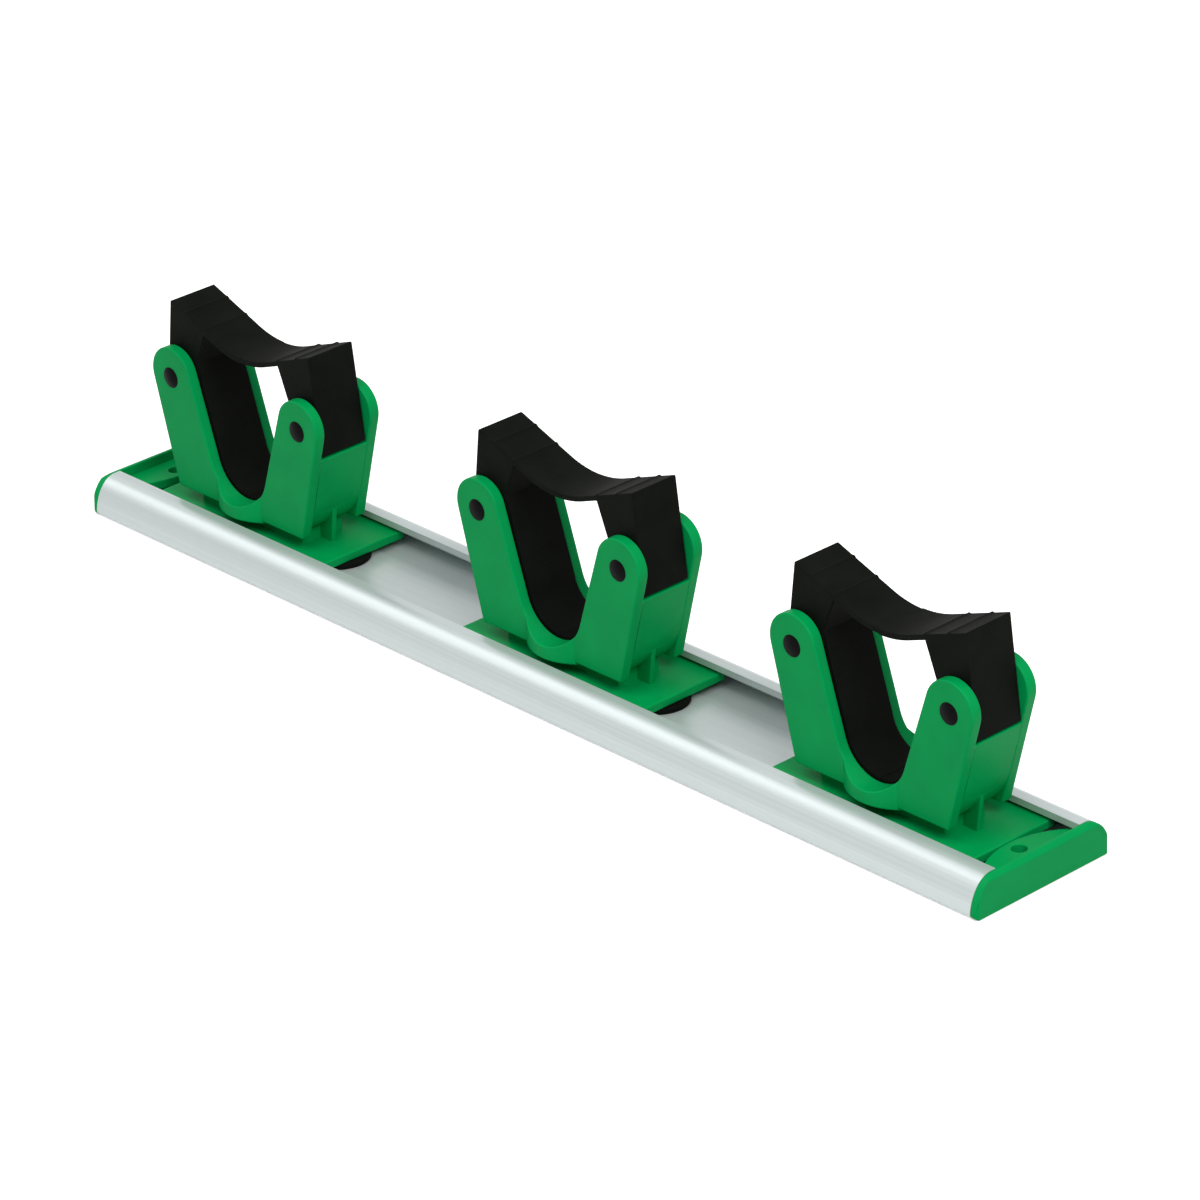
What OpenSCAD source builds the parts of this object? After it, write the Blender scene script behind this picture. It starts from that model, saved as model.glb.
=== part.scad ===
// Wall rack for mops and brooms: three snap grips that slide in an aluminium rail.
// The rack lies on its back. The wall side is z = 0 and z points away from the wall,
// x runs along the rail and y along a tool handle. The middle of the rail is x = 0, y = 0.

/* [Rail] */
// Length over both end caps
rack_l = 350; // [320:1:420]
// Width of the rail over its curved sides
rail_w = 50; // [47:0.5:56]
// Height of the rail above the wall
rail_h = 11; // [10.6:0.1:12.5]
// Width of each curved side
nose_w = 7.5; // [7:0.1:8.5]
// Wall thickness of the curved sides
side_wall_t = 1.8; // [1.4:0.1:2.2]
// Width of the flat lips beside the slot
lip_w = 2; // [1.5:0.1:2.5]
// Thickness of the lips
lip_t = 2; // [1.6:0.1:2.4]
// Height of the channel floor above the wall
floor_z = 3.4; // [3:0.1:3.6]
// Thickness of the channel floor
floor_t = 1.8; // [1.4:0.1:2.2]
// Width of the raised band along the channel floor
band_w = 20; // [19:0.5:24]
// Height of the raised band
band_h = 0.4; // [0.2:0.1:0.6]
// Width of the hollow in the back of the rail
back_hollow_w = 28; // [20:1:32]
// Radius of the lower outer edges of the rail and the caps
edge_r = 1.6; // [1:0.1:1.8]

/* [End caps] */
// Thickness of the plate on each end
cap_t = 2.2; // [2:0.1:3]
// Length of the tongue inside the channel
tongue_l = 10.3; // [9:0.1:10.6]
// Radius of the rounded end of the tongue
tongue_nose_r = 25; // [22:1:40]
// Chamfer around the outside of the end plate
cap_chamfer = 1.2; // [0.5:0.1:1.5]
// Diameter of the two wall screw holes
screw_d = 4.2; // [3.5:0.1:4.4]
// Distance of each screw hole from the end of the rack
screw_inset = 8.5; // [7.8:0.1:8.6]

/* [Grip positions] */
// Gap between the foot of the left grip and the tongue of its cap
left_gap = 3.5; // [0.5:0.5:30]
// Place of the middle grip along the rail, from the middle of the rail
middle_x = 6.5; // [-20:0.5:20]
// Gap between the foot of the right grip and the tongue of its cap
right_gap = 0.5; // [0.5:0.5:30]

/* [Grip body] */
// Gap between the lips of the rail and the base of the body
body_gap = 1.5; // [1:0.1:1.8]
// Distance between the two pins of a grip
pin_spacing = 55; // [52:0.5:60]
// Height of the pins above the base of the body
pin_up = 33.5; // [32:0.5:38]
// Depth of the body from front to back
body_d = 23.6; // [22:0.2:26]
// Thickness of the front and back plates
plate_t = 3.4; // [3:0.1:4]
// Radius of the round ears that hold the pins
ear_r = 8.2; // [7.5:0.1:8.6]
// Height of the middle of the ears above the pins
ear_up = 0.8; // [0:0.1:1.5]
// Width of the body at its base
base_w = 54; // [50:0.5:58]
// Height of the bottom of the U cut above the base of the body
cut_up = 3.2; // [2:0.1:5]
// Radius of the bottom of the U cut
cut_r = 12.2; // [11:0.1:14]
// Thickness of the side walls
wall_t = 2.5; // [2:0.1:2.8]
// How far the side walls reach up past the lowest point of the round heels
wall_lap = 0.5; // [0:0.1:0.6]
// Radius of the round nose below the U cut
chin_r = 15.1; // [13.5:0.1:15.2]
// Height at which the side walls turn in towards the neck
tuck_up = 11; // [6:0.5:12]

/* [Foot] */
// Length of the foot in the rail
foot_l = 72; // [70:1:74]
// Thickness of the foot
foot_t = 2.6; // [2.2:0.1:2.8]
// Length of the neck between foot and body
neck_l = 44; // [38:1:50]
// Depth of the neck between foot and body
neck_d = 15; // [13:0.5:21]
// Thickness of the small rib on each side of the neck
rib_t = 1.6; // [1.2:0.1:2.5]
// How far the rubber pad sticks out past each end of the foot
pad_overhang = 2; // [0.5:0.1:2]
// Width of the rubber pad
pad_w = 18; // [16:0.5:18.5]

/* [Pins] */
// Diameter of a pin
pin_d = 5; // [4:0.1:6]
// Diameter of the pin heads
pin_head_d = 6.4; // [6.2:0.1:8]
// Height of the pin heads
pin_head_t = 0.7; // [0.5:0.1:1.5]

/* [Rubber grip] */
// Width of the grip across its top corners
top_w = 60; // [58:0.5:62]
// Height of the top corners above the pins
top_up = 22; // [21:0.5:26]
// Width of the grip at the top of the side walls
heel_w = 67.4; // [66:0.2:67.6]
// Height of the middle of the saddle above the pins
saddle_up = 12.9; // [12:0.1:14]
// Radius of the middle of the saddle
saddle_r = 30; // [25:1:34]
// Half of the width of the thin web between the cheeks
web_reach = 16; // [15:0.5:17]
// Thickness of the web
web_t = 1.6; // [1.2:0.1:2.2]
// Radius of the round heel of each cheek
heel_r = 8.5; // [8:0.1:8.6]
// Distance from a pin's axis in to the lower end of the slanted face below the web
slant_in = 7.7; // [7:0.1:8.4]
// How far that end stays outside the round heel
slant_gap = 1; // [0.6:0.1:1.6]
// How far the legs stand in from the U cut
leg_proud = 0.7; // [0.5:0.1:1]
// Thickness of the legs
leg_t = 2.2; // [1.8:0.1:2.4]
// Distance from the pins down to the top of the legs
leg_drop = 3; // [3:0.5:8]

/* [Clearances] */
// Gap between the rubber grip and each plate
grip_gap = 0.3; // [0.2:0.05:0.5]
// Radial gap of the pins in their holes
pin_gap = 0.05; // [0.03:0.01:0.1]
// Gap between the foot and the lips of the rail
foot_gap = 1; // [0.3:0.1:1.2]
// Gap between each long edge of the foot and the curved sides of the rail
foot_side_gap = 1.8; // [0.8:0.1:2.5]
// Gap between the pad and the raised band, and between the caps and the floor
pad_gap = 0.05; // [0.02:0.01:0.1]
// Gap between the pads and the plugs of the caps when a foot touches a tongue
pad_end_gap = 0.3; // [0.2:0.1:0.5]
// Gap between the round heels and the legs, and above the side walls
heel_gap = 0.4; // [0.3:0.1:0.6]

/* [Hidden] */
$fn = 64;
BIG = 100;
JOIN = 0.2;
ARC_STEPS = 12;
ALUMINIUM = "#B9C1C1";
GREEN = "#008F4B";
RUBBER = "#1A1C18";
NYLON = "#0E0E0F";

// Levels above the wall
lip_z = rail_h - lip_t;
foot_top_z = lip_z - foot_gap;
foot_z = foot_top_z - foot_t;
band_z = floor_z + band_h;
base_z = rail_h + body_gap;
pin_z = base_z + pin_up;
wall_top_z = pin_z - heel_r + wall_lap;
cut_z = base_z + cut_up + cut_r;
tuck_z = base_z + tuck_up;

// Places along and across the rail
rail_l = rack_l - 2 * cap_t;
tongue_x = rail_l / 2 - tongue_l;
left_x = left_gap + foot_l / 2 - tongue_x;
right_x = tongue_x - right_gap - foot_l / 2;
flat_w = rail_w - 2 * nose_w;
slot_w = flat_w - 2 * lip_w;
foot_w = flat_w - 2 * foot_side_gap
    + 2 * (nose_w - side_wall_t) * sqrt(1 - pow(foot_top_z / (rail_h - side_wall_t), 2));
screw_x = rack_l / 2 - screw_inset;
pin_x = pin_spacing / 2;
grip_d = body_d - 2 * plate_t - 2 * grip_gap;

// An arc of points around a centre
function arc(c, r, a0, a1, n = ARC_STEPS) =
    [for (i = [0 : n]) c + r * [cos(a0 + (a1 - a0) * i / n), sin(a0 + (a1 - a0) * i / n)]];

// Points mirrored to the other side, in reverse order
function mirrored(pts) = [for (i = [len(pts) - 1 : -1 : 0]) [-pts[i][0], pts[i][1]]];

// Curved side of the rail's section, a quarter of an ellipse, moved in by a distance
function rail_side(inset) =
    [for (i = [0 : ARC_STEPS])
        let (a = 90 * i / ARC_STEPS)
        [flat_w / 2 + (nose_w - inset) * cos(a), (rail_h - inset) * sin(a)]];

// Outside of the same curved side, with its rounded lower edge
edge_a = asin(edge_r / rail_h);
edge_c = [flat_w / 2 + nose_w * cos(edge_a) - edge_r, edge_r];
outer_side = concat(arc(edge_c, edge_r, -90, 0, 6),
    [for (i = [1 : ARC_STEPS])
        let (a = edge_a + (90 - edge_a) * i / ARC_STEPS)
        [flat_w / 2 + nose_w * cos(a), rail_h * sin(a)]]);

// Angle at which a line from a point touches a circle, on the side given by 1 or -1
function touch(p, c, r, side) =
    atan2(p[1] - c[1], p[0] - c[0]) + side * acos(r / norm(p - c));

pin_c = [pin_x, pin_z];
ear_c = [pin_x, pin_z + ear_up];
base_corner = [base_w / 2, base_z];
ear_out_a = touch(base_corner, ear_c, ear_r, 1);
ear_touch = ear_c + ear_r * [cos(ear_out_a), sin(ear_out_a)];
outer_dir = (ear_touch - base_corner) / norm(ear_touch - base_corner);
outer_in = [-outer_dir[1], outer_dir[0]];

// Angle of the straight sides of the U cut, which touch its round bottom and the ears
cut_c = [0, cut_z];
cut_a = atan2(ear_c[1] - cut_z, pin_x) + asin((cut_r + ear_r) / norm(ear_c - cut_c));

// Right half of the U cut from its top down to its middle, made wider by grow
function cut_half(grow) = concat(
    [ear_c + (ear_r - grow) * [cos(cut_a + 90), sin(cut_a + 90)]],
    arc(cut_c, cut_r + grow, cut_a - 90, -90));

// A point of the outer side line of the body at a height, moved in by a distance
function outer_at(z, inward = 0) =
    let (p = base_corner + inward * outer_in)
    p + outer_dir * (z - p[1]) / outer_dir[1];

// Height of the saddle above the wall, a round middle with straight slopes
saddle_mid = [0, pin_z + saddle_up + saddle_r];
top_corner = [top_w / 2, pin_z + top_up];
saddle_a = touch(top_corner, saddle_mid, saddle_r, -1);
saddle_touch = saddle_mid + saddle_r * [cos(saddle_a), sin(saddle_a)];
saddle_slope = (top_corner[1] - saddle_touch[1]) / (top_corner[0] - saddle_touch[0]);
web_end = [web_reach, saddle_touch[1] + saddle_slope * (web_reach - saddle_touch[0])];
web_low = web_end - [0, web_t];

// Lowest outer corner of a cheek and the lower end of its slanted inner face
heel_corner = [heel_w / 2, wall_top_z + 2 * heel_gap];
slant_end = pin_c + [-slant_in, sqrt(pow(heel_r + slant_gap, 2) - pow(slant_in, 2))];

// Extrudes a section drawn in x and z evenly to the front and the back
module across(depth) {
    rotate([90, 0, 0])
        translate([0, 0, -depth / 2])
            linear_extrude(depth)
                children();
}

// Extrudes a section drawn in y and z along the rail
module along(x0, x1) {
    translate([x0, 0, 0])
        rotate([90, 0, 90])
            linear_extrude(x1 - x0)
                children();
}

// Outer outline of the rail and the caps
module rail_outline() {
    polygon(concat(outer_side, mirrored(outer_side)));
}

// Part of the rail's outline between two distances from its middle, on the back, and two heights
module rail_band(y0, y1, z0, z1) {
    intersection() {
        rail_outline();
        translate([y0, z0])
            square([y1 - y0, z1 - z0]);
    }
}

// Floor of the rail with its raised band, its hollow back and its screw holes
module rail_floor() {
    color(ALUMINIUM)
        difference() {
            union() {
                along(-rail_l / 2, rail_l / 2)
                    difference() {
                        rail_band(-rail_w / 2, rail_w / 2, 0, floor_z);
                        translate([-back_hollow_w / 2, -1])
                            square([back_hollow_w, 1 + floor_z - floor_t]);
                    }
                translate([-rail_l / 2, -band_w / 2, floor_z - JOIN])
                    cube([rail_l, band_w, band_h + JOIN]);
            }
            for (side = [-1, 1])
                translate([side * screw_x, 0, -1])
                    cylinder(h = BIG, d = screw_d);
        }
}

// Curved wall on the back side of the rail, above its floor
module rail_wall() {
    inner_side = rail_side(side_wall_t);
    color(ALUMINIUM)
        along(-rail_l / 2, rail_l / 2)
            difference() {
                rail_band(flat_w / 2, rail_w / 2, floor_z, rail_h);
                intersection() {
                    polygon(concat(inner_side, mirrored(inner_side)));
                    square([rail_w, lip_z]);
                }
            }
}

// Lip on the back side of the rail, which holds the feet down
module rail_lip() {
    color(ALUMINIUM)
        along(-rail_l / 2, rail_l / 2)
            rail_band(slot_w / 2, flat_w / 2, lip_z, rail_h);
}

// End cap on the right end: a bevelled plate and a tongue that lies level with the feet
module end_cap() {
    plug_x = tongue_x + pad_overhang + pad_end_gap;
    end_x = rack_l / 2;
    bevel_x = end_x - cap_chamfer;
    side_y = rail_w / 2;
    color(GREEN)
        difference() {
            union() {
                intersection() {
                    along(rail_l / 2, end_x)
                        rail_outline();
                    across(BIG)
                        polygon([[0, 0], [end_x, 0], [end_x, rail_h - cap_chamfer], [bevel_x, rail_h], [0, rail_h]]);
                    linear_extrude(BIG)
                        polygon([[0, -side_y], [bevel_x, -side_y], [end_x, cap_chamfer - side_y],
                            [end_x, side_y - cap_chamfer], [bevel_x, side_y], [0, side_y]]);
                }
                intersection() {
                    translate([tongue_x, -foot_w / 2, foot_z])
                        cube([tongue_l + JOIN, foot_w, foot_t]);
                    translate([tongue_x + tongue_nose_r, 0, 0])
                        cylinder(h = BIG, r = tongue_nose_r, $fn = 128);
                }
                translate([plug_x, -pad_w / 2, band_z + pad_gap])
                    cube([rail_l / 2 - plug_x + JOIN, pad_w, foot_z + JOIN - band_z - pad_gap]);
            }
            translate([screw_x, 0, -1])
                cylinder(h = BIG, d = screw_d);
        }
}

// Outline of the front and back plates: two ears and a U cut
module plate_section() {
    ear = arc(ear_c, ear_r, ear_out_a, cut_a + 90, 24);
    half = concat([base_corner], ear, cut_half(0));
    polygon(concat(half, mirrored(half)));
}

// Section of one side wall, straight above and tucked in towards the neck below
module side_wall_section() {
    neck = [neck_l / 2, base_z];
    tuck_in = (base_corner[0] - neck[0]) * outer_dir[1];
    polygon(concat(
        [outer_at(wall_top_z)],
        [for (i = [0 : ARC_STEPS])
            let (a = 90 * i / ARC_STEPS)
            outer_at(tuck_z - tuck_up * sin(a), tuck_in * (1 - cos(a)))],
        [[neck[0] - wall_t, base_z], [neck[0] - wall_t, base_z + wall_t]],
        [outer_at(tuck_z, wall_t), outer_at(wall_top_z, wall_t)]));
}

// Grip body with its plates, side walls, chin, neck and foot, for a grip at x = 0
module grip_body() {
    leg_seat = cut_half(leg_t - leg_proud + pad_gap);
    color(GREEN)
        difference() {
            union() {
                for (side = [-1, 1])
                    translate([0, side * (body_d - plate_t) / 2, 0])
                        across(plate_t)
                            plate_section();
                for (side = [0, 1])
                    mirror([side, 0, 0])
                        across(body_d - 2 * plate_t + 2 * JOIN)
                            side_wall_section();
                // chin and floor, open above along the U cut
                difference() {
                    union() {
                        translate([0, 0, base_z - body_gap / 2])
                            cylinder(h = cut_up + cut_r / 2, r = chin_r, $fn = 96);
                        translate([-neck_l / 2, -body_d / 2 + JOIN, base_z])
                            cube([neck_l, body_d - 2 * JOIN, wall_t]);
                    }
                    across(BIG)
                        polygon(concat(cut_half(0), mirrored(cut_half(0))));
                    across(body_d - 2 * plate_t)
                        polygon(concat(leg_seat, mirrored(leg_seat)));
                }
                // neck, ribs and foot
                translate([-neck_l / 2, -neck_d / 2, foot_top_z - JOIN])
                    cube([neck_l, neck_d, base_z - foot_top_z + 2 * JOIN]);
                for (side = [0, 1])
                    mirror([side, 0, 0])
                        across(rib_t)
                            polygon([[neck_l / 2 - JOIN, foot_top_z - JOIN], [base_w / 2, foot_top_z - JOIN],
                                outer_at(tuck_z, wall_t / 2), [neck_l / 2 - JOIN, base_z + JOIN]]);
                translate([-foot_l / 2, -foot_w / 2, foot_z])
                    cube([foot_l, foot_w, foot_t]);
            }
            for (side = [-1, 1])
                translate([side * pin_x, 0, pin_z])
                    rotate([90, 0, 0])
                        cylinder(h = body_d + 2, d = pin_d + 2 * pin_gap, center = true);
        }
}

// Rubber pad under the foot, with round ends
module pad() {
    reach = foot_l / 2 + pad_overhang - pad_w / 2;
    color(RUBBER)
        translate([0, 0, band_z + pad_gap])
            linear_extrude(foot_z - band_z - pad_gap) {
                square([2 * reach, pad_w], center = true);
                for (side = [-1, 1])
                    translate([side * reach, 0])
                        circle(d = pad_w);
            }
}

// Pin through both ears, with a domed head at each end
module pin() {
    half = body_d / 2;
    dome_r = (pow(pin_head_d / 2, 2) + pow(pin_head_t, 2)) / (2 * pin_head_t);
    dome_a = asin(pin_head_d / 2 / dome_r);
    dome = arc([0, half + pin_head_t - dome_r], dome_r, 90 - dome_a, 90, 6);
    side = concat([[pin_d / 2, half]], dome);
    color(NYLON)
        translate([pin_x, 0, pin_z])
            rotate([90, 0, 0])
                rotate_extrude()
                    polygon(concat(side, [for (i = [len(side) - 1 : -1 : 0]) [side[i][0], -side[i][1]]]));
}

// Rubber cheek on the right pin
module cheek() {
    heel_a0 = touch(slant_end, pin_c, heel_r, 1);
    heel_a1 = 360 + touch(heel_corner, pin_c, heel_r, -1);
    color(RUBBER)
        difference() {
            across(grip_d)
                polygon(concat(
                    [top_corner, web_end, web_low, slant_end],
                    arc(pin_c, heel_r, heel_a0, heel_a1, 24),
                    [heel_corner]));
            translate([pin_x, 0, pin_z])
                rotate([90, 0, 0])
                    cylinder(h = grip_d + 2, d = pin_d + 2 * pin_gap, center = true);
        }
}

// Right half of the thin web between the cheeks
module web() {
    top = concat(arc(saddle_mid, saddle_r, -90, saddle_a), [web_end]);
    color(RUBBER)
        across(grip_d)
            polygon(concat(top, [for (i = [len(top) - 1 : -1 : 0]) top[i] - [0, web_t]]));
}

// Right leg of the grip, which lines the U cut down to its middle
module leg() {
    inner = cut_half(-leg_proud);
    outer = cut_half(leg_t - leg_proud);
    color(RUBBER)
        across(grip_d)
            difference() {
                polygon(concat(inner, [for (i = [len(outer) - 1 : -1 : 0]) outer[i]]));
                translate([0, pin_z - leg_drop])
                    square(BIG);
                translate(pin_c)
                    circle(r = heel_r + heel_gap);
            }
}

// Moves a piece to its place, and to the left half for side a
module at(x, left = false) {
    translate([x, 0, 0])
        mirror([left ? 1 : 0, 0, 0])
            children();
}

rail_floor();
mirror([0, 1, 0]) rail_wall();  // rail_wall_front
rail_wall();  // rail_wall_back
mirror([0, 1, 0]) rail_lip();  // rail_lip_front
rail_lip();  // rail_lip_back
at(0, true) end_cap();  // end_cap_left
end_cap();  // end_cap_right

at(left_x) grip_body();  // body_left
at(left_x) pad();  // pad_left
at(left_x, true) pin();  // pin_left_a
at(left_x) pin();  // pin_left_b
at(left_x, true) cheek();  // cheek_left_a
at(left_x) cheek();  // cheek_left_b
at(left_x, true) web();  // web_left_a
at(left_x) web();  // web_left_b
at(left_x, true) leg();  // leg_left_a
at(left_x) leg();  // leg_left_b

at(middle_x) grip_body();  // body_middle
at(middle_x) pad();  // pad_middle
at(middle_x, true) pin();  // pin_middle_a
at(middle_x) pin();  // pin_middle_b
at(middle_x, true) cheek();  // cheek_middle_a
at(middle_x) cheek();  // cheek_middle_b
at(middle_x, true) web();  // web_middle_a
at(middle_x) web();  // web_middle_b
at(middle_x, true) leg();  // leg_middle_a
at(middle_x) leg();  // leg_middle_b

at(right_x) grip_body();  // body_right
at(right_x) pad();  // pad_right
at(right_x, true) pin();  // pin_right_a
at(right_x) pin();  // pin_right_b
at(right_x, true) cheek();  // cheek_right_a
at(right_x) cheek();  // cheek_right_b
at(right_x, true) web();  // web_right_a
at(right_x) web();  // web_right_b
at(right_x, true) leg();  // leg_right_a
at(right_x) leg();  // leg_right_b
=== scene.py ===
# Wall rack for mops and brooms: three rubber snap grips on an anodised aluminium rail with
# moulded green end caps. It lies on its back, +Z away from the wall and +X along the rail.
from math import cos, radians, sin

import bmesh
import bpy
from mathutils import Matrix, Vector


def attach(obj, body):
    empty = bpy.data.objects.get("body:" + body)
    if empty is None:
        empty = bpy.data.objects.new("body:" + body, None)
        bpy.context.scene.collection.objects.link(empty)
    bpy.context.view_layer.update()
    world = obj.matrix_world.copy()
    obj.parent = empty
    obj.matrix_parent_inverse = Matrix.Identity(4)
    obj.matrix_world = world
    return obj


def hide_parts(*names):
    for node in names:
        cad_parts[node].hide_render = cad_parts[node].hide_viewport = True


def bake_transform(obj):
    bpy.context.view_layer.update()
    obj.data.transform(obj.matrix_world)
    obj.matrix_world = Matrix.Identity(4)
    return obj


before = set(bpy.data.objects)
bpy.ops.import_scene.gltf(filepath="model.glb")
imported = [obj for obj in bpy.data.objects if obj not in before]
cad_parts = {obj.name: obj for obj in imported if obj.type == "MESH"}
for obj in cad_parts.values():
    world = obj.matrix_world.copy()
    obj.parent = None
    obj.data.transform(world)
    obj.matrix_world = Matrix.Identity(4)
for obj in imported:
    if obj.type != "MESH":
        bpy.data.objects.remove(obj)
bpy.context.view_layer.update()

RAIL_NODES = ("rail_floor", "rail_wall_front", "rail_wall_back", "rail_lip_front", "rail_lip_back")
MM = 0.001

# Places and angles of the part, in millimetres and degrees. The walls' feet are further than WALL_FOOT_LEAST
# from the rail's middle, and the saddle lies above SADDLE_LOWEST
GRIP_X = {"left": -123.0, "middle": 6.5, "right": 126.0}
OUTWARD = {"a": -1, "b": 1}
FLOOR_Z = 3.4
WALL_FOOT_LEAST = 15
SADDLE_ANGLE = 20.2
SADDLE_LOWEST = 57

# Roundings of the edges, in millimetres. A leg's edges are rounded below LEG_ROUNDED_TO
RAIL_EDGE = 0.3
CAP_EDGE = 0.3
BODY_EDGE = 0.5
PAD_EDGE = 0.3
PIN_EDGE = 0.15
CHEEK_EDGE = 0.55
LEG_EDGE = 0.3
LEG_ROUNDED_TO = 38

# Low ribs across the saddle, in millimetres: their places from the grip's middle, half width and height
RIB_PLACES = (16.0, 24.0)
RIB_HALF_WIDTH = 0.7
RIB_HEIGHT = 0.35

# Steps that carry the lining on over the cheek: rise and outward shift in millimetres, and depth factor
LINING_STEPS = ((6.4, 2.0, 0.975), (3.0, 1.2, 1.0))

# Merging and rounding: vertices this near are one (metres), faces this flat are one, edges this sharp are
# rounded (degrees), and faces with more corners than this are split before they are rounded
DOUBLE = 0.002 * MM
FLAT_ANGLE = 0.6
SHARP_ANGLE = 30.0
MOST_CORNERS = 16

# The photograph's width and height in pixels, and the camera's sensor in millimetres
IMAGE_PX = 1200
SENSOR_MM = 36.0


# Materials

def linear(hex_colour):
    """An sRGB hex colour as linear red, green, blue and alpha."""
    out = []
    for i in (0, 2, 4):
        c = int(hex_colour[i + 1:i + 3], 16) / 255
        out.append(c / 12.92 if c <= 0.04045 else ((c + 0.055) / 1.055) ** 2.4)
    return (*out, 1.0)


def new_finish(name):
    """A new material, its node tree and its Principled BSDF."""
    material = bpy.data.materials.new(name)
    material.use_nodes = True
    tree = material.node_tree
    return material, tree, tree.nodes["Principled BSDF"]


def add_node(tree, kind, links=(), **settings):
    """Adds a node. Settings that name an input set its value, and links are (input, socket) pairs."""
    node = tree.nodes.new(kind)
    for key, value in settings.items():
        if key in node.bl_rna.properties:
            setattr(node, key, value)
        else:
            node.inputs[key.replace("_", " ").title()].default_value = value
    for name, socket in links:
        tree.links.new(socket, node.inputs[name])
    return node


def vary_colour(tree, shader, noise, low, high, start=0.0, end=1.0):
    """Moves the base colour between two hex colours, as the noise goes from start to end."""
    ramp = add_node(tree, "ShaderNodeValToRGB", [("Fac", noise.outputs["Fac"])])
    first, last = ramp.color_ramp.elements
    first.position, first.color = start, linear(low)
    last.position, last.color = end, linear(high)
    tree.links.new(ramp.outputs["Color"], shader.inputs["Base Color"])


def add_bump(tree, shader, noise, strength, distance):
    bump = add_node(tree, "ShaderNodeBump", [("Height", noise.outputs["Fac"])],
                    strength=strength, distance=distance)
    tree.links.new(bump.outputs["Normal"], shader.inputs["Normal"])


def set_gloss(shader, roughness, ior, specular):
    shader.inputs["Roughness"].default_value = roughness
    shader.inputs["IOR"].default_value = ior
    shader.inputs["Specular IOR Level"].default_value = specular


def moulded_polypropylene():
    """Injection moulded polypropylene, green all through: semi-gloss with a faint moulding waviness."""
    material, tree, shader = new_finish("moulded_green_polypropylene")
    place = add_node(tree, "ShaderNodeTexCoord").outputs["Object"]
    # flow marks of about 12 mm change the green a little
    flow = add_node(tree, "ShaderNodeTexNoise", [("Vector", place)], scale=80.0, detail=2.0)
    vary_colour(tree, shader, flow, "#008A47", "#01924B", 0.3, 0.7)
    # a fine spark-eroded grain of about 0.6 mm, drawn coarse enough to show
    grain = add_node(tree, "ShaderNodeTexNoise", [("Vector", place)], scale=1600.0, detail=3.0)
    add_bump(tree, shader, grain, 0.06, 0.0002)
    set_gloss(shader, 0.4, 1.49, 0.05)
    return material


def anodised_aluminium():
    """Extruded aluminium, satin silver anodised: fine die lines run along the rail."""
    material, tree, shader = new_finish("silver_anodised_aluminium")
    place = add_node(tree, "ShaderNodeTexCoord").outputs["Object"]
    # die lines about 0.5 mm apart, stretched along X
    along = add_node(tree, "ShaderNodeMapping", [("Vector", place)], Scale=(4.0, 1800.0, 1800.0))
    lines = add_node(tree, "ShaderNodeTexNoise", [("Vector", along.outputs["Vector"])], scale=1.0, detail=2.0)
    vary_colour(tree, shader, lines, "#B7C0C0", "#C1C9C8", 0.25, 0.75)
    add_bump(tree, shader, lines, 0.03, 0.0002)
    rough = add_node(tree, "ShaderNodeMapRange", [("Value", lines.outputs["Fac"])])
    rough.inputs["To Min"].default_value = 0.28
    rough.inputs["To Max"].default_value = 0.34
    tree.links.new(rough.outputs["Result"], shader.inputs["Roughness"])
    shader.inputs["Metallic"].default_value = 0.35
    return material


def moulded_rubber():
    """Black moulded rubber: dull and faintly mottled, with a fine pitted skin."""
    material, tree, shader = new_finish("black_moulded_rubber")
    place = add_node(tree, "ShaderNodeTexCoord").outputs["Object"]
    bloom = add_node(tree, "ShaderNodeTexNoise", [("Vector", place)], scale=110.0, detail=4.0)
    vary_colour(tree, shader, bloom, "#0A0C09", "#10120E", 0.3, 0.75)
    pits = add_node(tree, "ShaderNodeTexNoise", [("Vector", place)], scale=1400.0, detail=4.0)
    add_bump(tree, shader, pits, 0.15, 0.0003)
    set_gloss(shader, 0.62, 1.52, 0.03)
    return material


def moulded_nylon():
    """Black moulded nylon pins: smoother and deeper black than the rubber."""
    material, tree, shader = new_finish("black_moulded_nylon")
    place = add_node(tree, "ShaderNodeTexCoord").outputs["Object"]
    grain = add_node(tree, "ShaderNodeTexNoise", [("Vector", place)], scale=2200.0, detail=2.0)
    vary_colour(tree, shader, grain, "#080708", "#0D0C0D")
    add_bump(tree, shader, grain, 0.05, 0.0002)
    set_gloss(shader, 0.4, 1.53, 0.03)
    return material


FINISH = {
    "green_plastic": moulded_polypropylene(),
    "aluminium": anodised_aluminium(),
    "rubber": moulded_rubber(),
    "black_nylon": moulded_nylon(),
}


# Pieces

def is_at(measure, place):
    """Says whether a measure in metres is at a place in millimetres."""
    return abs(measure - place * MM) < DOUBLE


def merge_flat(bm):
    """Merges triangles that lie in one plane, and drops those without an area."""
    bmesh.ops.dissolve_degenerate(bm, dist=5 * DOUBLE, edges=bm.edges)
    bmesh.ops.dissolve_limit(bm, angle_limit=radians(FLAT_ANGLE), verts=bm.verts, edges=bm.edges)


def cut_flat(bm, faces, place, normal):
    """Cuts these faces along a plane through a place in millimetres."""
    geom = list({*faces, *(e for f in faces for e in f.edges), *(v for f in faces for v in f.verts)})
    bmesh.ops.bisect_plane(bm, geom=geom, dist=DOUBLE, plane_co=Vector(place) * MM, plane_no=normal)


def solid_copy(*nodes):
    """A bmesh of these nodes' solids, each with its triangles merged into flat faces."""
    bm = bmesh.new()
    for node in nodes:
        known = set(bm.verts)
        bm.from_mesh(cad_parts[node].data)
        bmesh.ops.remove_doubles(bm, verts=[v for v in bm.verts if v not in known], dist=DOUBLE)
    merge_flat(bm)
    return bm


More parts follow.
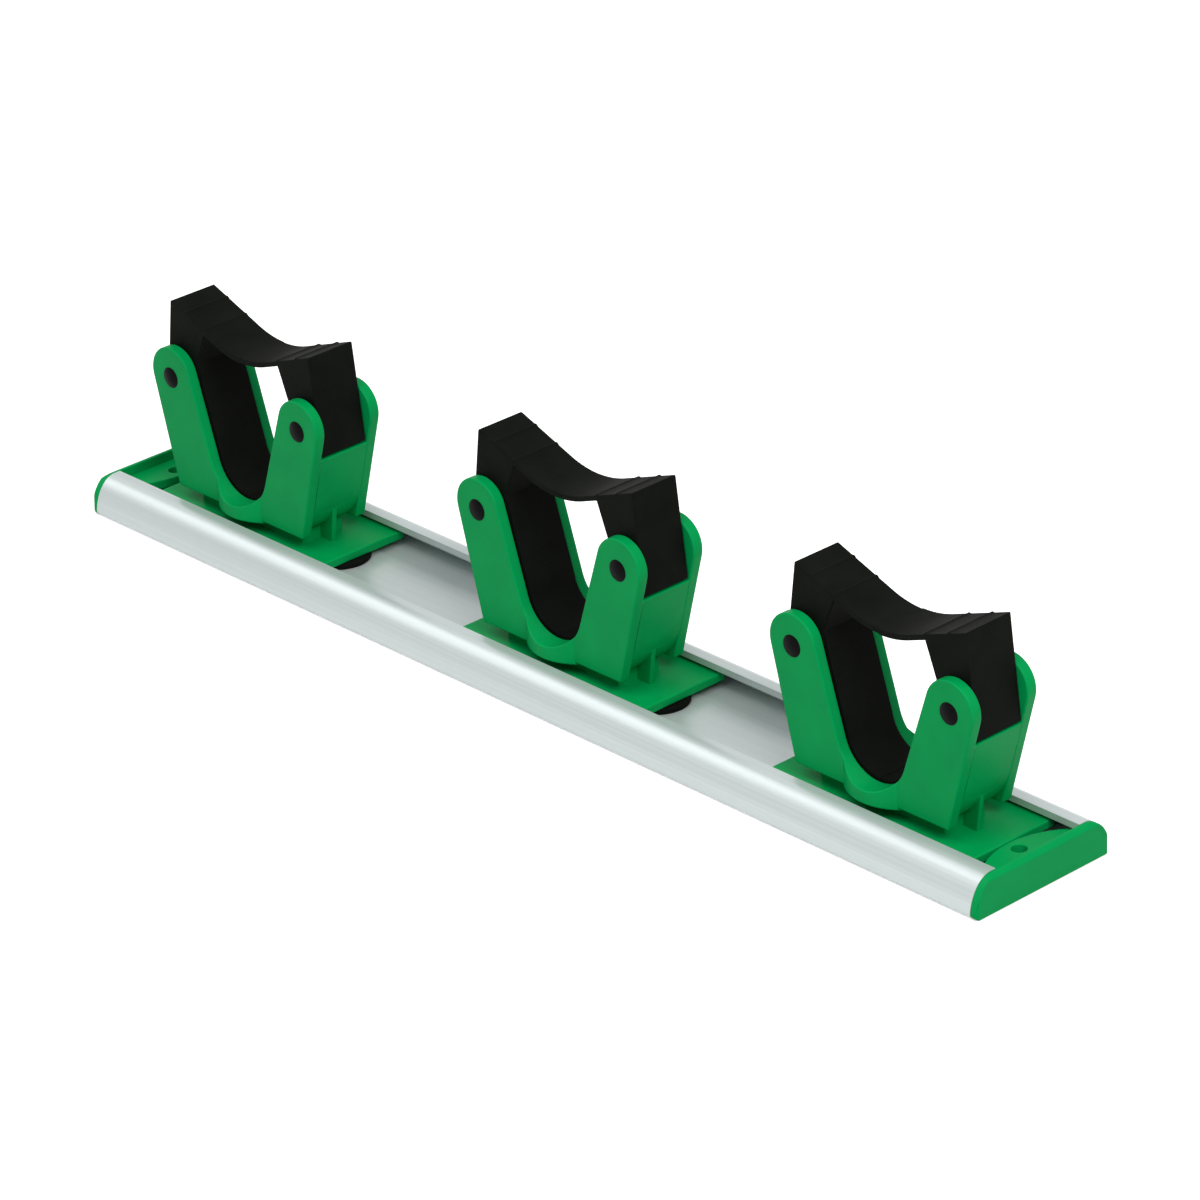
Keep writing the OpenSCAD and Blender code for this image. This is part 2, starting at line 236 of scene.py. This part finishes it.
def weld(bm):
    """Makes touching solids one, without the faces that lie between them."""
    bmesh.ops.remove_doubles(bm, verts=bm.verts, dist=DOUBLE)
    between = [f for f in bm.faces if all(len(e.link_faces) > 2 for e in f.edges)]
    bmesh.ops.delete(bm, geom=between, context="FACES")
    merge_flat(bm)


def sharp_edges(bm, least=SHARP_ANGLE, where=lambda e: True):
    """Edges whose faces meet at more than an angle in degrees, and that pass a test."""
    return [e for e in bm.edges
            if len(e.link_faces) == 2 and e.calc_face_angle(0.0) > radians(least) and where(e)]


def round_edges(bm, edges, radius, segments=3, clamp=True):
    """Rounds these edges with a radius in millimetres."""
    bmesh.ops.bevel(bm, geom=edges, offset=radius * MM, offset_type="OFFSET", segments=segments,
                    profile=0.5, affect="EDGES", clamp_overlap=clamp, material=-1)


def soften(bm, radius):
    """Rounds the outer edges of a moulding. Many-sided faces are split first, as rounding would fold them."""
    bmesh.ops.triangulate(bm, faces=[f for f in bm.faces if len(f.verts) > MOST_CORNERS])
    round_edges(bm, sharp_edges(bm, where=lambda e: e.is_convex), radius, clamp=False)


def set_normals(mesh, smooth):
    """Shades curved places smooth and flat ones flat: a corner's normal follows its largest faces."""
    around = [[] for _ in mesh.vertices]
    for face in mesh.polygons:
        for v in face.vertices:
            around[v].append((face.normal.copy(), face.area))
    normals = []
    for face in mesh.polygons:
        for v in face.vertices:
            near = [n * area for n, area in around[v] if n.dot(face.normal) > cos(radians(smooth))]
            normals.append(sum(near, Vector()).normalized() if near else face.normal.copy())
    mesh.normals_split_custom_set(normals)


def finish_piece(name, bm, body, slot, replaced, smooth=35.0):
    """Makes the bmesh an object with its finish. It stands for CAD nodes, and rides a body if one is given."""
    bmesh.ops.triangulate(bm, faces=[f for f in bm.faces if len(f.verts) > 4])
    bmesh.ops.recalc_face_normals(bm, faces=bm.faces)
    mesh = bpy.data.meshes.new(name)
    bm.to_mesh(mesh)
    bm.free()
    mesh.shade_smooth()
    set_normals(mesh, smooth)
    piece = bpy.data.objects.new(name, mesh)
    bpy.context.scene.collection.objects.link(piece)
    piece.data.materials.append(FINISH[slot])
    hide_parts(*replaced)
    if body:
        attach(piece, body)
    return piece


def make_rail():
    """The whole extrusion, without seams between its floor, walls and lips."""
    bm = solid_copy(*RAIL_NODES)
    # the floor's top is cut where the walls stand on it, so that their faces match and the weld joins them
    wall_feet = [abs(v.co.y) for v in bm.verts
                 if is_at(v.co.z, FLOOR_Z) and abs(v.co.y) > WALL_FOOT_LEAST * MM]
    for side in (-1, 1):
        floor_top = [f for f in bm.faces
                     if f.normal.z > 0.99 and is_at(f.calc_center_median().z, FLOOR_Z)]
        cut_flat(bm, floor_top, (0, side * min(wall_feet) / MM, 0), (0, 1, 0))
    weld(bm)
    round_edges(bm, sharp_edges(bm), RAIL_EDGE)
    finish_piece("extruded_rail", bm, "rail", "aluminium", RAIL_NODES, 25.0)


def make_caps():
    """Both end caps, with their outer edges rounded."""
    for side in ("left", "right"):
        bm = solid_copy("end_cap_" + side)
        soften(bm, CAP_EDGE)
        finish_piece("moulded_cap_" + side, bm, "rail", "green_plastic", ["end_cap_" + side])


def make_grip_body(grip):
    node = "body_" + grip
    bm = solid_copy(node)
    soften(bm, BODY_EDGE)
    finish_piece("moulded_body_" + grip, bm, "grip_" + grip, "green_plastic", [node])


def make_pad(grip):
    node = "pad_" + grip
    bm = solid_copy(node)
    round_edges(bm, sharp_edges(bm), PAD_EDGE, 2)
    finish_piece("rubber_pad_" + grip, bm, "grip_" + grip, "rubber", [node])


def make_pin(grip, side):
    node = f"pin_{grip}_{side}"
    bm = solid_copy(node)
    round_edges(bm, sharp_edges(bm, 40.0), PIN_EDGE, 2)
    finish_piece(f"nylon_pin_{grip}_{side}", bm, "grip_" + grip, "black_nylon", [node])


def make_cheek(grip, side):
    """Cheek and web half of one side, in one moulding, with two low ribs across the slope of the saddle."""
    out = OUTWARD[side]
    cheek, web = f"cheek_{grip}_{side}", f"web_{grip}_{side}"
    middle = GRIP_X[grip]
    bm = solid_copy(cheek, web)
    weld(bm)
    # the edges where both halves meet stay sharp, so that no seam shows there
    outer = sharp_edges(bm, where=lambda e: not all(is_at(v.co.x, middle) for v in e.verts))
    round_edges(bm, outer, CHEEK_EDGE)
    slope = radians(SADDLE_ANGLE)
    up = Vector((-out * sin(slope), 0, cos(slope)))
    for rib in RIB_PLACES:
        crest = middle + out * rib
        for place in (crest - RIB_HALF_WIDTH, crest, crest + RIB_HALF_WIDTH):
            saddle = [f for f in bm.faces
                      if f.normal.dot(up) > 0.35 and f.calc_center_median().z > SADDLE_LOWEST * MM]
            cut_flat(bm, saddle, (place, 0, 0), (1, 0, 0))
        for v in bm.verts:
            if is_at(v.co.x, crest) and v.co.z > SADDLE_LOWEST * MM and v.normal.dot(up) > 0.5:
                v.co += up * RIB_HEIGHT * MM
    piece = finish_piece(f"rubber_cheek_{grip}_{side}", bm, None, "rubber", [cheek, web])
    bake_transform(piece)


def make_lining(grip, side):
    """Rubber leg along the U cut, which runs on over the inner face of its cheek."""
    out = OUTWARD[side]
    leg, cheek = f"leg_{grip}_{side}", f"cheek_{grip}_{side}"
    bm = solid_copy(leg)
    lower = sharp_edges(bm, 60.0, lambda e: all(v.co.z < LEG_ROUNDED_TO * MM for v in e.verts))
    round_edges(bm, lower, LEG_EDGE, 2)
    # it narrows a little, so that its sides lie inside the cheek, and ends within it
    for rise, shift, narrow in LINING_STEPS:
        highest = max(v.co.z for v in bm.verts)
        ends = [f for f in bm.faces if f.normal.z > 0.9 and f.calc_center_median().z > highest - 0.5 * MM]
        grown = bmesh.ops.extrude_face_region(bm, geom=ends)["geom"]
        bmesh.ops.delete(bm, geom=ends, context="FACES_ONLY")
        top = [g for g in grown if isinstance(g, bmesh.types.BMVert)]
        bmesh.ops.scale(bm, verts=top, vec=(1, narrow, 1))
        bmesh.ops.translate(bm, verts=top, vec=Vector((out * shift, 0, rise)) * MM)
    piece = finish_piece(f"rubber_lining_{grip}_{side}", bm, None, "rubber", [leg])
    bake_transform(piece)


# Camera, light and floor

def make_camera():
    """A long lens at the photograph's angle."""
    azimuth, elevation, roll = radians(47.4), radians(26.24), radians(-2.0)
    focal_px, distance, centre_px = 5581.99, 1.51861, (567.73, 671.45)
    back = Vector((sin(azimuth) * cos(elevation), -cos(azimuth) * cos(elevation), sin(elevation)))
    right = Vector((0, 0, 1)).cross(back).normalized()
    up = back.cross(right)
    rolled_right = right * cos(roll) + up * sin(roll)
    rolled_up = up * cos(roll) - right * sin(roll)
    off_x, off_y = ((c - IMAGE_PX / 2) / focal_px * distance for c in centre_px)
    origin = Vector((off_x, -off_y, -distance))
    eye = -(rolled_right * origin.x + rolled_up * origin.y + back * origin.z)
    lens = bpy.data.cameras.new("product_camera")
    lens.sensor_width = SENSOR_MM
    lens.lens = SENSOR_MM * focal_px / IMAGE_PX
    lens.clip_start, lens.clip_end = 0.05, 50.0
    camera = bpy.data.objects.new("product_camera", lens)
    turned = Matrix((rolled_right, rolled_up, back)).transposed()
    camera.matrix_world = Matrix.Translation(eye) @ turned.to_4x4()
    bpy.context.scene.collection.objects.link(camera)
    bpy.context.scene.camera = camera


def softbox(name, place, aim, size, watts, reflected_only=False):
    """A rectangular lamp turned towards a point. One that is reflected_only adds gloss and no plain light."""
    lamp = bpy.data.lights.new(name, "AREA")
    lamp.shape = "RECTANGLE"
    lamp.size, lamp.size_y = size
    lamp.energy = watts
    holder = bpy.data.objects.new(name, lamp)
    holder.location = place
    holder.rotation_euler = (Vector(aim) - Vector(place)).to_track_quat("-Z", "Y").to_euler()
    holder.visible_diffuse = not reflected_only
    bpy.context.scene.collection.objects.link(holder)


def rays_that_see(tree):
    """A socket that is one for rays from the camera, a reflection or glass, and zero for plain light."""
    path = add_node(tree, "ShaderNodeLightPath")
    seen = path.outputs["Is Camera Ray"]
    for ray in ("Is Glossy Ray", "Is Transmission Ray"):
        either = add_node(tree, "ShaderNodeMath", operation="MAXIMUM")
        tree.links.new(seen, either.inputs[0])
        tree.links.new(path.outputs[ray], either.inputs[1])
        seen = either.outputs["Value"]
    return seen


def make_studio():
    """A white room: it shows white behind the object, and lights it at a plain level."""
    world = bpy.data.worlds.new("white_studio")
    bpy.context.scene.world = world
    world.use_nodes = True
    tree = world.node_tree
    backdrop = tree.nodes["Background"]
    level = add_node(tree, "ShaderNodeMapRange", [("Value", rays_that_see(tree))])
    level.inputs["To Min"].default_value = 0.5
    level.inputs["To Max"].default_value = 1.0
    tree.links.new(level.outputs["Result"], backdrop.inputs["Strength"])
    backdrop.inputs["Color"].default_value = (1, 1, 1, 1)
    softbox("strip_softbox", (-0.917, -0.40, 0.96), (0, 0, 0.01), (0.7, 0.7), 2.8, reflected_only=True)
    softbox("key_softbox", (0.1, -0.8, 1.4), (0, 0, 0.03), (1.0, 1.0), 11.5)
    softbox("fill_softbox", (1.15, -0.35, 1.2), (0, 0, 0.03), (0.8, 0.6), 15.0)


def make_floor():
    """A plain white floor under the rack, which keeps its soft shadow."""
    bm = bmesh.new()
    bmesh.ops.create_grid(bm, x_segments=1, y_segments=1, size=6.0)
    bmesh.ops.translate(bm, verts=bm.verts, vec=(0, 0, -0.0002))
    mesh = bpy.data.meshes.new("studio_floor")
    bm.to_mesh(mesh)
    bm.free()
    floor = bpy.data.objects.new("studio_floor", mesh)
    bpy.context.scene.collection.objects.link(floor)
    material, tree, shader = new_finish("white_paper")
    shader.inputs["Roughness"].default_value = 0.9
    shader.inputs["Specular IOR Level"].default_value = 0.0
    # camera and reflections show white paper, and the rack gets the dimmer light of a grey one from below
    seen = rays_that_see(tree)
    paper = add_node(tree, "ShaderNodeMapRange", [("Value", seen)])
    paper.inputs["To Min"].default_value = 0.55
    tree.links.new(paper.outputs["Result"], shader.inputs["Base Color"])
    tree.links.new(seen, shader.inputs["Emission Strength"])
    shader.inputs["Emission Color"].default_value = linear("#A6A6A6")
    mesh.materials.append(material)


make_camera()
make_studio()
make_floor()
make_rail()
make_caps()
for grip in GRIP_X:
    make_grip_body(grip)
    make_pad(grip)
    for side in OUTWARD:
        make_pin(grip, side)
        make_cheek(grip, side)
        make_lining(grip, side)

bpy.context.scene.view_settings.view_transform = "Standard"
